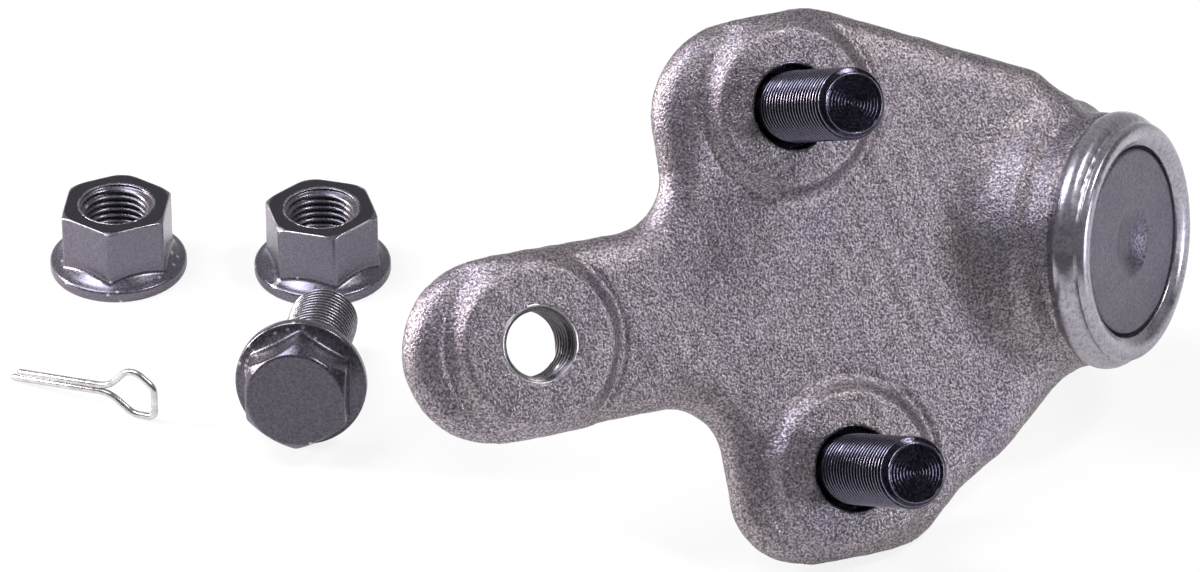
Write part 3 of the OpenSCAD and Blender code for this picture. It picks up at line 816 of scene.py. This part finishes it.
def make_bores():
    """The thread in the arm's hole, and dark linings in the two stud bores that are painted shade.
    """
    thread = [
        (6.75, -PLATE_T + 0.4, 0),
        (6.75, -0.3, 0),
        (6.65, 0.03, 0),
        (6.3, 0.03, 0),
        (6.2, -0.05, 0),
    ]
    thread += list(thread_rows(6.1, -0.15, 5.98, -0.9, (0.5, 0)))
    thread += list(thread_rows(TAP_R, -0.95, TAP_R, -PLATE_T + 0.95))
    thread += list(thread_rows(5.98, -PLATE_T + 0.9, 6.1, -PLATE_T + 0.15, (0, 0.5)))
    thread += [(6.3, -PLATE_T - 0.03, 0), (6.65, -PLATE_T - 0.03, 0), (6.75, -PLATE_T + 0.4, 0)]
    points, quads = threaded(thread, PITCH, THREAD_DEPTH, inward=True)
    piece("arm_thread", (laid(points), quads), "socket_body", [], THREAD_STEEL)
    for name, y in (("upper", LOBE_Y), ("lower", -LOBE_Y)):
        # Dark linings and floors in the stud bores: painted shade.
        ring = bore_ring(STUD_BORE_R, STUD_BORE_R + 0.4, -0.06, -STUD_BORE_DEPTH - 0.2)
        floor = lathe([(STUD_BORE_R + 0.3, -STUD_BORE_DEPTH), (5.0, -STUD_BORE_DEPTH)])
        points, quads = joined(ring, floor)
        mesh = (laid(points + [STUD_X, y, 0]), quads)
        piece("bore_" + name, mesh, "socket_body", [], STUD_BLACK)


def make_mounting_studs():
    """Two pressed-in studs: head, thread, chamfer and a tip with turned rings."""
    chamfer = STUD_REACH - 1.3
    under = -PLATE_T - STUD_HEAD_T
    root = THREAD_R - 0.45
    head = rounded(
        [
            *((r, under) for r in (0.01, 0.15, 1.5, 3, 4.5, 6, 7.5)),
            (STUD_HEAD_R, under, 1.2),
            (STUD_HEAD_R, -PLATE_T + 0.05, 0.2),
            (6.6, -PLATE_T + 0.05, 0.1),
            (6.5, -5.2, 0.2),
            (root, -4.4),
        ],
        0.4,
    )
    rows = [(r, z, 0) for r, z in head]
    rows += list(thread_rows(root, -4.3, THREAD_R, -0.4, (0.1, 0)))
    rows += list(thread_rows(THREAD_R, -0.3, THREAD_R, chamfer))
    rows += list(thread_rows(THREAD_R, chamfer + 0.08, THREAD_R - 1.05, STUD_REACH, (0, 0.5)))
    rows += [(THREAD_R - 1.15, STUD_REACH, 0), (THREAD_R - 1.3, STUD_REACH - 0.1, 0)]
    rings = np.linspace(THREAD_R - 1.4, 0.3, 90)
    rows += [(r, STUD_REACH - 0.1 - 0.02 * (1 - math.cos(11 * r)), 0) for r in rings]
    rows += [(0.01, STUD_REACH - 0.12, 0)]
    points, quads = threaded(rows, PITCH, THREAD_DEPTH)
    for name, y in (("upper", LOBE_Y), ("lower", -LOBE_Y)):
        mesh = (laid(points + [STUD_X, y, 0]), quads)
        nodes = ["mounting_stud_" + name]
        piece("stud_" + name, mesh, "socket_body", nodes, STUD_BLACK, weld=True)


# The hidden joint


def make_ball_stud():
    """Ball, neck, taper and thread in one turned piece, with a hole for the cotter pin."""
    thread_r = STUD_THREAD_R
    ball_flat = COVER_S - COVER_T - 2.4
    start = math.acos(ball_flat / BALL_R)
    neck_angle = math.pi - math.asin((NECK_R + 0.5) / BALL_R)
    arc = [(BALL_R * math.sin(a), BALL_R * math.cos(a)) for a in np.linspace(start, neck_angle, 48)]
    body = [(0.01, ball_flat)] + arc
    neck = rounded(
        [
            arc[-1],
            (NECK_R, -BALL_R + 0.5, 0.8),
            (NECK_R, -TAPER_S + 6.6, 1.5),
            (TAPER_R + 0.1, -TAPER_S + 3.8, 0.8),
            (TAPER_R + 0.1, -TAPER_S, 0.2),
            (TAPER_R, -TAPER_S - 0.3, 0.2),
            (TAPER_END_R, -TAPER_S - TAPER_L, 0.5),
            (thread_r - 1.0, -TAPER_S - TAPER_L - 0.5, 0.4),
            (thread_r - 1.0, -NUT_SEAT_S + 0.6),
        ],
        0.5,
    )
    rows = [(r, s, 0) for r, s in body + [tuple(p) for p in neck[1:]]]
    rows += list(thread_rows(thread_r - 0.5, -NUT_SEAT_S + 0.4, thread_r, -NUT_SEAT_S, (0.3, 0)))
    rows += list(thread_rows(thread_r, -NUT_SEAT_S - 0.1, thread_r, -STUD_END_S + 1.2))
    rows += list(thread_rows(thread_r, -STUD_END_S + 1.1, thread_r - 1.1, -STUD_END_S, (0, 0.4)))
    rings = np.linspace(thread_r - 1.2, 0.3, 20)
    rows += [(r, -STUD_END_S - 0.02 * math.sin(3 * r), 0) for r in rings]
    rows += [(0.01, -STUD_END_S, 0)]
    points, quads = threaded(rows, STUD_PITCH, STUD_THREAD_DEPTH)
    mesh = (in_socket(points), quads[:, ::-1])
    nodes = ["ball_stud"]
    stud = piece("ball_stud_shank", mesh, "stud", nodes, BALL_STEEL, weld=True)
    points, quads = cross_hole(NUT_SEAT_S + CASTLE_H - SLOT_DEPTH / 2)
    cutter = piece("cutter", (in_socket(points), quads), None, weld=True)
    modifier = stud.modifiers.new("hole", "BOOLEAN")
    modifier.operation = "DIFFERENCE"
    modifier.object = cutter
    modifier.solver = "EXACT"
    bpy.context.view_layer.objects.active = stud
    bpy.ops.object.modifier_apply(modifier="hole")
    bpy.data.objects.remove(cutter)


def cross_hole(s):
    """A closed rod across the stud, for cutting its cotter hole."""
    r, reach = COTTER_HOLE_R, 9.0
    profile = rounded([(0.001, reach), (r, reach), (r, -reach), (0.001, -reach)], 0)
    points, quads = lathe(profile, 32)
    points = placed(points, turn("x", 90), (0, 0, -s))
    return points, quads[:, ::-1]


def make_castle_nut():
    """A slotted hexagon nut, screwed home on the ball stud."""
    crown_r = CASTLE_AF / 2 - 1.2
    slot_floor = CASTLE_H - SLOT_DEPTH
    hex_h = slot_floor + 0.8

    def field(x, y, z):
        out = np.hypot(x, y)
        slope = math.radians(28)
        hexa = smooth_max(hexagon_distance(x, y, CASTLE_AF), z - hex_h + 0 * out, 0.4)
        side = (out - CASTLE_AF / 2 * 0.96) * math.sin(slope)
        top = side + (z - hex_h) * math.cos(slope)
        low = side - z * math.cos(slope)
        hexa = smooth_max(smooth_max(hexa, top, 0.3), low, 0.3)
        hexa = smooth_max(hexa, -z + 0 * out, 0.3)
        crown = smooth_max(out - crown_r, z - CASTLE_H + 0 * out, 0.7)
        crown = np.maximum(crown, 1 - z)
        body = smooth_min(hexa, crown, 0.5)
        for k in range(3):
            a = math.radians(60 * k + 90)
            across = np.abs(y * math.cos(a) - x * math.sin(a)) - SLOT_W / 2
            body = smooth_max(body, -np.maximum(across, slot_floor - z), 0.3)
        return np.maximum(body, 7.4 - out)

    step = 0.27
    body = surface(field, (-13.6, -13.6, -1), (13.6, 13.6, 15.4), step)
    rows = [(7.7, 0.6, 0), (7.7, slot_floor - 0.6, 0), (7.0, slot_floor - 0.3, 0)]
    rows += list(thread_rows(6.98, slot_floor - 0.5, 6.98, 0.9))
    rows += [(7.45, 0.02, 0), (7.7, 0.1, 0), (7.7, 0.6, 0)]
    points, quads = joined(body, threaded(rows, STUD_PITCH, 0.3, inward=True))
    points = placed(points, FLIP, (0, 0, -NUT_SEAT_S))
    piece("castle_nut_body", (in_socket(points), quads), "stud", ["castle_nut"], ZINC)


def boot_profiles():
    """The boot's outer and inner skins, and the height of its widest part."""
    foot = GROOVE_R + 0.05
    wide_s = (MOUTH_S + TAPER_S) / 2 - 2.5
    lip = BOOT_LIP_R
    outer = [
        (foot + 0.1, -GROOVE_S[0] - 0.1, 0.1),
        (foot + BOOT_T, -GROOVE_S[0] - 0.1, 0.4),
        (foot + BOOT_T, -GROOVE_S[1] + 1.1, 0.4),
        (RIM_R + 0.2 + BOOT_T, -GROOVE_S[1] + 0.2, 0.8),
        (RIM_R + 0.4 + BOOT_T, -MOUTH_S - 0.2, 1.5),
        (BOOT_R, -wide_s + 1.4, 2.2),
        (BOOT_R, -wide_s - 0.4, 2.0),
        (18.3, -wide_s - 2.6, 2.0),
        (lip + 4.6, -TAPER_S + 2.9, 1.4),
        (lip + 2, -TAPER_S + 2.3, 0.5),
        (lip + 2, -TAPER_S + 0.7, 0.3),
        (lip + 2.6, -TAPER_S + 0.3, 0.2),
        (lip, -TAPER_S + 0.3, 0.1),
    ]
    inner = [
        (lip, -TAPER_S + 3.2, 0.3),
        (lip + 3.6, -TAPER_S + 4.1, 1.2),
        (17.4, -wide_s - 1.2, 1.6),
        (BOOT_R - BOOT_T, -wide_s + 0.4, 1.4),
        (BOOT_R - BOOT_T, -wide_s + 1.0, 1.2),
        (RIM_R + 0.3, -MOUTH_S - 0.2, 0.8),
        (RIM_R + 0.2, -GROOVE_S[1] + 0.2, 0.2),
        (foot, -GROOVE_S[1] + 0.2, 0.1),
    ]
    return rounded(outer, 0.5, 7), rounded(inner, 0.5, 7), -wide_s


def make_boot():
    """The boot in two pieces, parted a little past its widest part."""
    outer, inner, widest = boot_profiles()
    middle = widest - BOOT_PARTING
    upper_out = [p for p in outer if p[1] >= middle - 0.4]
    lower_out = [p for p in outer if p[1] <= upper_out[-1][1]]
    upper_in = [p for p in inner if p[1] >= middle + 0.2]
    lower_in = [p for p in inner if p[1] <= upper_in[0][1]]
    top, bottom = upper_in + upper_out, lower_out + lower_in
    ends = [in_socket([(0, 0, s)])[0] for s in (-GROOVE_S[1], middle, -TAPER_S + 3.5)]
    for name, rows, bodies, (a, b) in (
        ("boot_top", top, ("socket_body", "boot"), (ends[0], ends[1])),
        ("boot_bottom", bottom, ("boot", "boot_neck"), (ends[1], ends[2])),
    ):
        points, quads = lathe(rows, 128)
        obj = piece(name, (in_socket(points), quads[:, ::-1]), None, material=RUBBER)
        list(bodies)
        tuple(a)
        tuple(b)
        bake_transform(obj)
        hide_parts("dust_boot")


def ring_mesh(radius, s):
    """A coiled wire ring about the socket's axis."""
    steps, sides = int(90 * RING_TURNS), 10
    a = np.arange(steps + 1) * 2 * math.pi * RING_TURNS / steps
    b = circle(sides)
    height = s + (a / (2 * math.pi) - RING_TURNS / 2) * 2 * RING_WIRE * 0.98
    r = radius + RING_WIRE * np.cos(b)[None, :]
    x, y = r * np.cos(a)[:, None], r * np.sin(a)[:, None]
    z = height[:, None] + RING_WIRE * np.sin(b)[None, :]
    return in_socket(np.stack([x, y, z], -1).reshape(-1, 3)), grid(steps + 1, sides)


def make_rings():
    """The coiled rings that hold the boot in the groove and on the stud."""
    mesh = ring_mesh(GROOVE_R + BOOT_T + 0.6, -GROOVE_S[0] - 1)
    piece("ring_housing", mesh, "socket_body", ["boot_ring_housing"], WIRE)
    mesh = ring_mesh(BOOT_LIP_R + 2.55, -TAPER_S + 1.5)
    piece("ring_stud", mesh, "boot_neck", ["boot_ring_stud"], WIRE)


def finish_cad_nodes():
    """Materials for the sealed pieces that keep their CAD shape."""
    for name, material in (("ball_seat", SEAT), ("pressure_cup", SEAT), ("disc_spring", WIRE)):
        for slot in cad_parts[name].material_slots:
            slot.material = material


# The loose fasteners


def flange_field(flats, flange_r, height, crown, lean, bore=None):
    """A hexagon over a sloping round flange, its seat at z = 0."""

    def field(x, y, z):
        out = np.hypot(x, y)
        hexa = smooth_max(hexagon_distance(x, y, flats), z - height + 0 * out, 0.2)
        corner = flats / math.cos(math.radians(30)) / 2
        slope = math.radians(lean)
        chamfer = (out - crown) * math.sin(slope) + (z - height) * math.cos(slope)
        hexa = smooth_max(hexa, chamfer, 0.2)
        hexa = smooth_max(hexa, out - corner + 0.12, 0.2)
        rim = slab(out - flange_r, z, 0, FLANGE_RIM, 0.55)
        slope = math.radians(33)
        cone = (out - flange_r + 0.5) * math.sin(slope) + (z - FLANGE_RIM + 0.15) * math.cos(slope)
        cone = smooth_max(smooth_max(cone, -z + 0 * out, 0.3), out - flange_r + 0.3, 0.3)
        body = smooth_min(smooth_min(hexa, cone, 0.5), rim, 0.5)
        body = np.maximum(body, -z)
        if bore:
            body = np.maximum(body, bore - out)
        return body

    return field


def nut_mesh():
    """A flange nut's points and quads, with its inner thread."""
    field = flange_field(NUT_AF, NUT_FLANGE_R, NUT_H, 9.45, 30, bore=6.6)
    step = 0.22
    body = surface(field, (-13, -13, -1), (13, 13, 14), step)
    rows = [(6.85, 1.0, 0), (6.85, NUT_H - 0.6, 0), (6.8, NUT_H, 0), (6.6, NUT_H, 0)]
    rows += [(6.45, NUT_H - 0.06, 0)]
    rows += list(thread_rows(6.4, NUT_H - 0.1, 5.7, NUT_H - 1.0, (0.5, 0)))
    rows += list(thread_rows(TAP_R, NUT_H - 1.1, TAP_R, 1.0))
    rows += list(thread_rows(5.8, 0.9, 6.4, 0.1, (0, 0.4)))
    rows += [(6.7, 0.02, 0), (6.85, 0.3, 0), (6.85, 1.0, 0)]
    return joined(body, threaded(rows, PITCH, THREAD_DEPTH, inward=True))


def make_nuts():
    """The two loose flange nuts, flat on the floor."""
    points, quads = nut_mesh()
    for name, (x, y, angle) in (("left", NUT_LEFT_AT), ("right", NUT_RIGHT_AT)):
        mesh = (placed(points, turn("z", angle + 30), (x, y, FLOOR_Z)) * MM, quads)
        body = "nut_" + name
        piece(body + "_body", mesh, body, ["flange_" + body], NUT_BLACK)


def make_bolt():
    """The loose bolt, lying on its flange and the end of its thread."""
    droop = math.atan((BOLT_FLANGE_R - THREAD_R) / (BOLT_L - 1.3))
    field = flange_field(BOLT_AF, BOLT_FLANGE_R, BOLT_HEAD_H, 8.2, 52)
    step = 0.22
    head = surface(field, (-12.2, -12.2, -1), (12.2, 12.2, 10.4), step)
    head = (placed(head[0], FLIP @ turn("z", 30), (0, 0, 0)), head[1])
    rows = [(5.0, -1.0, 0), (6.3, -0.3, 0), (6.0, 0.5, 0), (5.5, 1.2, 0), (5.5, 2.2, 0)]
    rows += list(thread_rows(5.5, 2.3, THREAD_R, 3.2, (0.8, 0)))
    rows += list(thread_rows(THREAD_R, 3.3, THREAD_R, BOLT_L - 1.3))
    rows += list(thread_rows(THREAD_R, BOLT_L - 1.25, THREAD_R - 1.2, BOLT_L, (0, 0.5)))
    rows += [(r, BOLT_L + 0.03 * math.sin(4 * r), 0) for r in np.linspace(4.6, 0.3, 20)]
    rows += [(0.01, BOLT_L, 0)]
    points, quads = joined(head, threaded(rows, PITCH, THREAD_DEPTH))
    rotation = turn("z", -BOLT_AT[2]) @ turn("x", -90 - math.degrees(droop))
    origin = (BOLT_AT[0], BOLT_AT[1], FLOOR_Z + BOLT_FLANGE_R * math.cos(droop))
    mesh = (placed(points, rotation, origin) * MM, quads)
    piece("bolt_body", mesh, "bolt", ["flange_bolt"], BOLT_BLACK)


def make_cotter_pin():
    """Two half-round legs that run into an eye, standing on its rim and their tips."""
    high, long, bend = EYE_W / 2 - PIN_WIRE, EYE_L - PIN_WIRE, EYE_L / 7
    tip = [(-PIN_L + d, -PIN_WIRE, 0) for d in (0, 0.1, 0.3, 0.6)]
    eye = [(0, -PIN_WIRE, 1.5 * bend), (0.44 * long, -high, bend), (0.9 * long, -high, bend)]
    eye += [(long, 0.4 * high, bend), (0.68 * long, high, bend), (0.44 * long, high, bend)]
    eye += [(0, PIN_WIRE, 1.5 * bend)]
    path = rounded(tip + eye + [(x + 1.5, -y, 0) for x, y, _ in tip[::-1]], bend, 9)
    sides = 16
    a = circle(sides)
    heading = np.gradient(path, axis=0) + 1e-9
    heading /= np.linalg.norm(heading, axis=1, keepdims=True)
    across = np.stack([-heading[:, 1], heading[:, 0]], 1)
    order = np.arange(len(path))
    ends = np.minimum(order, order[::-1])
    taper = np.where(ends < 4, 0.4 + 0.2 * ends, 1.0) * PIN_WIRE
    offset = np.cos(a)[None, :] * taper[:, None]
    x = path[:, :1] + across[:, :1] * offset
    y = path[:, 1:] + across[:, 1:] * offset
    z = np.sin(a)[None, :] * taper[:, None]
    points = np.stack([x, y, z], -1).reshape(-1, 3)
    lean = math.asin((EYE_W / 2 - 2 * PIN_WIRE) / (PIN_L + EYE_L / 2))
    lift = PIN_L * math.sin(lean) + 2 * PIN_WIRE * math.cos(lean)
    rotation = turn("z", PIN_AT[2]) @ turn("y", -math.degrees(lean)) @ turn("x", 90)
    points = placed(points, rotation, (PIN_AT[0], PIN_AT[1], FLOOR_Z + lift)) * MM
    mesh = (points, grid(len(path), sides))
    piece("cotter_wire", mesh, "split_pin", ["cotter_pin"], ZINC)


# The set


def floor_material():
    """A white floor, partly plain white to the camera so that its shadows stay light."""
    m, tree, shader, place = new_material("floor", 0.0, 0.7)
    colours(tree, shader, noise(tree, place, 2.0, 2), grey((0.3, 0.88), (0.7, 0.9)))
    rays = node(tree, "ShaderNodeLightPath").outputs
    seen = maths(tree, "MULTIPLY", rays["Is Camera Ray"], 0.85)
    mirrored = maths(tree, "MULTIPLY", rays["Is Glossy Ray"], 0.35)
    share = maths(tree, "MAXIMUM", seen, mirrored)
    white = node(tree, "ShaderNodeEmission").outputs[0]
    both = node(tree, "ShaderNodeMixShader", {0: share, 1: shader.outputs[0], 2: white}).outputs[0]
    tree.links.new(both, tree.nodes["Material Output"].inputs["Surface"])
    return m


def make_stage():
    """A pale floor that curves up behind."""
    z, back, bend = FLOOR_Z * MM, 1.6, 0.8
    profile = [(-3.0, z), (back, z)]
    for a in np.radians(np.linspace(7.5, 90, 12)):
        profile.append((back + bend * math.sin(a), z + bend * (1 - math.cos(a))))
    profile.append((back + bend, 4.0))
    points = [(x, y, h) for y, h in profile for x in (-4.0, 4.0)]
    quads = [(2 * i, 2 * i + 1, 2 * i + 3, 2 * i + 2) for i in range(len(profile) - 1)]
    floor = piece("floor", (np.array(points), np.array(quads)), None, material=floor_material())


def area_light(name, location, target, size, power, colour):
    """A lamp of a width and height in metres, facing a target."""
    data = bpy.data.lights.new(name, "AREA")
    data.shape = "RECTANGLE"
    data.size, data.size_y = size
    data.energy = power
    data.color = colour
    obj = bpy.data.objects.new(name, data)
    bpy.context.scene.collection.objects.link(obj)
    obj.location = location
    obj.rotation_euler = Vector(target - location).to_track_quat("-Z", "Y").to_euler()


def make_lights():
    """Four lamps about the part's middle, and a dim sky that is brighter overhead."""
    centre = np.array([0.02, 0.03, 0.0])
    pale, warm, cool = (1.0, 0.97, 0.96), (1.0, 0.92, 0.88), (0.9, 0.9, 1.0)
    for name, away, size, power, colour in (
        ("key", (0.58, -0.12, 0.92), (0.2, 0.2), 5.8, pale),
        ("left", (-0.95, 0.13, 0.35), (0.25, 0.4), 14, warm),
        ("high", (-0.5, 0.02, 0.9), (0.45, 0.45), 8.5, cool),
        ("side", (0.98, -0.34, 0.17), (0.2, 0.2), 3.5, cool),
    ):
        area_light(name, centre + away, centre, size, power, colour)
    world = bpy.data.worlds.new("studio")
    bpy.context.scene.world = world
    world.use_nodes = True
    tree = world.node_tree
    place = tree.nodes.new("ShaderNodeTexCoord").outputs["Generated"]
    height = node(tree, "ShaderNodeSeparateXYZ", {"Vector": place}).outputs["Z"]
    below, level, above = (0.1, 0.1, 0.105), (0.11, 0.105, 0.125), (0.3, 0.29, 0.32)
    sky = ramp(tree, height, [(0.0, below), (0.5, level), (0.8, above)])
    tree.links.new(sky, tree.nodes["Background"].inputs["Color"])


def make_camera():
    """The photograph's camera, fitted to the pads, holes, studs and cover."""
    data = bpy.data.cameras.new("camera")
    data.sensor_width = 36
    data.sensor_fit = "HORIZONTAL"
    data.lens = CAMERA_LENS
    data.clip_start, data.clip_end = 0.05, 20
    camera = bpy.data.objects.new("camera", data)
    bpy.context.scene.collection.objects.link(camera)
    camera.location = [c * MM for c in CAMERA_MM]
    camera.rotation_euler = (math.radians(90 - CAMERA_DROP), 0, 0)
    bpy.context.scene.camera = camera
    bpy.context.scene.view_settings.view_transform = "Standard"


make_forging()
make_socket_rim()
make_cover()
make_bores()
make_mounting_studs()
make_ball_stud()
make_castle_nut()
make_boot()
make_rings()
make_nuts()
make_bolt()
make_cotter_pin()
finish_cad_nodes()
make_stage()
make_lights()
make_camera()
